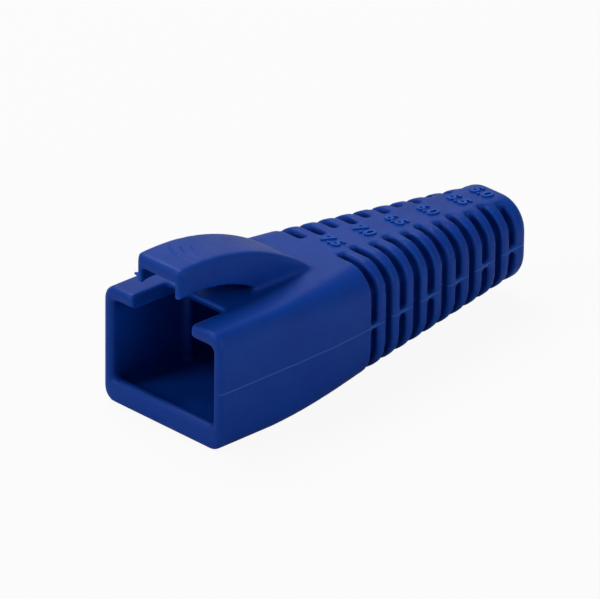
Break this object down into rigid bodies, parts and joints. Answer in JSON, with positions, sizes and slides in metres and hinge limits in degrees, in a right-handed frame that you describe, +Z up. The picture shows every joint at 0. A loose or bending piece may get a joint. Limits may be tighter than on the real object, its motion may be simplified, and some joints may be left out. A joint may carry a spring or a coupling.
{
  "type": "rj45 strain relief boot",
  "caption": "Soft one-piece cable boot for a modular plug: square hood with an arched latch guard, tapering ribbed neck and round cable exit.",
  "frame": {"origin": "middle of the bounding box, on the plane of the hood's flat underside", "axes": "+Y along the cable from the plug mouth to the cable exit, +Z up through the latch guard, +X to the right seen from the plug mouth"},
  "size_m": [0.0142, 0.04, 0.0154],
  "materials": {
    "boot": "soft blue vinyl, satin"
  },
  "bodies": {
    "root": {"strain_relief_boot": "boot"}
  },
  "joints": []
}
